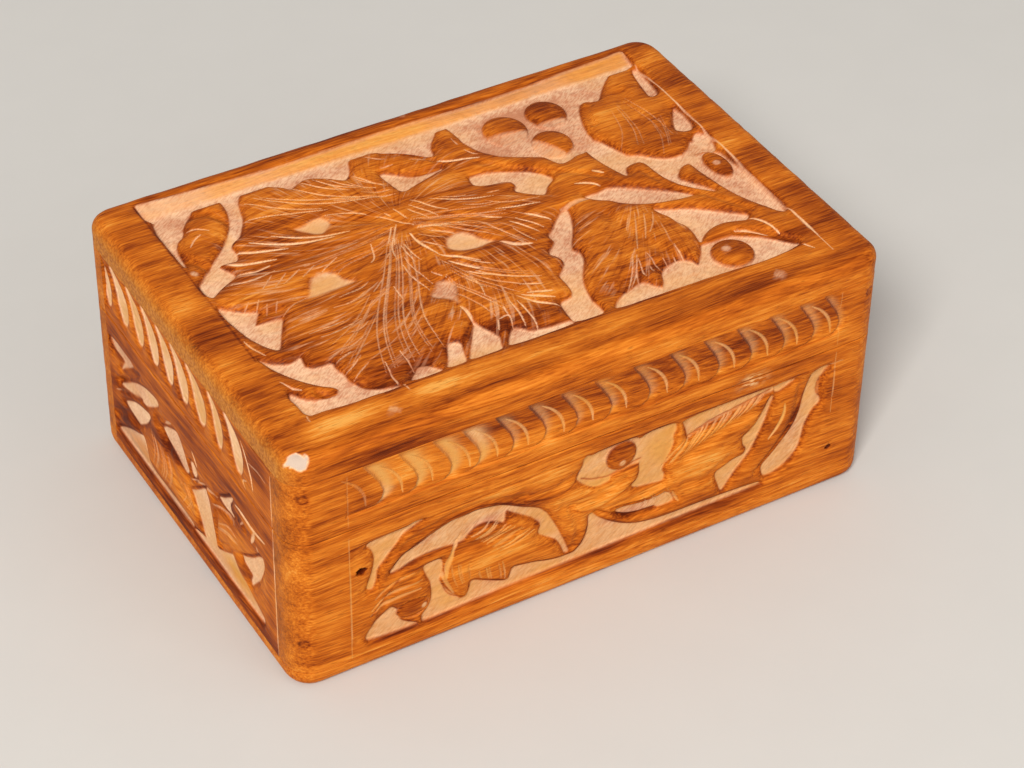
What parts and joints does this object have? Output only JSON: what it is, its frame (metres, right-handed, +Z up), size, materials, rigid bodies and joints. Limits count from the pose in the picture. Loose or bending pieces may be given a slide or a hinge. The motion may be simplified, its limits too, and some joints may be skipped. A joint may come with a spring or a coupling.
{
  "type": "carved wooden box",
  "caption": "Rectangular wooden keepsake box with a hinged lid, carved all round with a vine of leaves and berries.",
  "frame": {"origin": "middle of the underside", "axes": "+X along the long side to the right, +Y to the hinged back, +Z up; the front faces -Y"},
  "size_m": [0.15, 0.1014, 0.0654],
  "materials": {
    "carved_top": "oiled, with pale fresh-cut ground",
    "walls": "oiled",
    "hinge_brass": "satin",
    "nails": "dull"
  },
  "bodies": {
    "base": {"bottom_panel": "walls", "front_panel": "walls", "back_panel": "walls", "left_panel": "walls", "right_panel": "walls", "left_hinge_base_leaf": "hinge_brass", "left_hinge_pin": "hinge_brass", "left_hinge_base_screw_1": "hinge_brass", "left_hinge_base_screw_2": "hinge_brass", "right_hinge_base_leaf": "hinge_brass", "right_hinge_pin": "hinge_brass", "right_hinge_base_screw_1": "hinge_brass", "right_hinge_base_screw_2": "hinge_brass", "base_nail_front_left": "nails", "base_nail_front_right": "nails", "base_nail_back_left": "nails", "base_nail_back_right": "nails"},
    "lid": {"lid_top_panel": "carved_top", "lid_front_rail": "walls", "lid_back_rail": "walls", "lid_left_rail": "walls", "lid_right_rail": "walls", "left_hinge_lid_leaf": "hinge_brass", "left_hinge_lid_screw_1": "hinge_brass", "left_hinge_lid_screw_2": "hinge_brass", "right_hinge_lid_leaf": "hinge_brass", "right_hinge_lid_screw_1": "hinge_brass", "right_hinge_lid_screw_2": "hinge_brass", "lid_nail_front_left": "nails", "lid_nail_front_right": "nails", "lid_nail_back_left": "nails", "lid_nail_back_right": "nails"}
  },
  "joints": [
    {"name": "lid_hinge", "type": "hinge", "parent": "base", "child": "lid", "pos_m": [0, 0.0487, 0.0422], "axis": [-1, 0, 0], "range_deg": [0, 98]}
  ]
}
